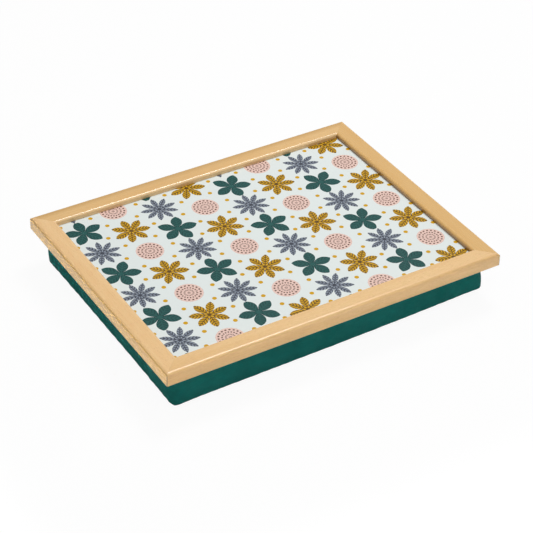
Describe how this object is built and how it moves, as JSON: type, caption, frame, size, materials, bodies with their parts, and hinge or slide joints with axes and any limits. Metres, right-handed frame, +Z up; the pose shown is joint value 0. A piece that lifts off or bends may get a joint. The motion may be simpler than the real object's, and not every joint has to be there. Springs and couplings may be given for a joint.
{
  "type": "lap tray with cushion",
  "caption": "Rectangular lap tray: a mitred wooden frame round a recessed printed board, on a bead-filled cloth cushion.",
  "frame": {"origin": "under the middle of the cushion, on the surface that it rests on", "axes": "+X along the long side, +Y from the front long rail to the back one, +Z up out of the tray"},
  "size_m": [0.44, 0.334, 0.0615],
  "materials": {
    "frame_wood": "satin",
    "print": "satin",
    "board": "matte",
    "steel": "satin",
    "strip_card": "matte",
    "cover_cloth": "matte",
    "bag_cloth": "matte",
    "beads": "matte"
  },
  "bodies": {
    "root": {"front_rail": "frame_wood", "back_rail": "frame_wood", "left_rail": "frame_wood", "right_rail": "frame_wood", "printed_top_sheet": "print", "tray_board": "board", "mitre_v_nails": "steel", "board_points": "steel", "tack_staples": "steel", "front_tack_strip": "strip_card", "back_tack_strip": "strip_card", "left_tack_strip": "strip_card", "right_tack_strip": "strip_card", "cushion_side_band": "cover_cloth", "cushion_base_panel": "cover_cloth", "inner_bead_bag": "bag_cloth", "bead_filling": "beads"}
  },
  "joints": []
}
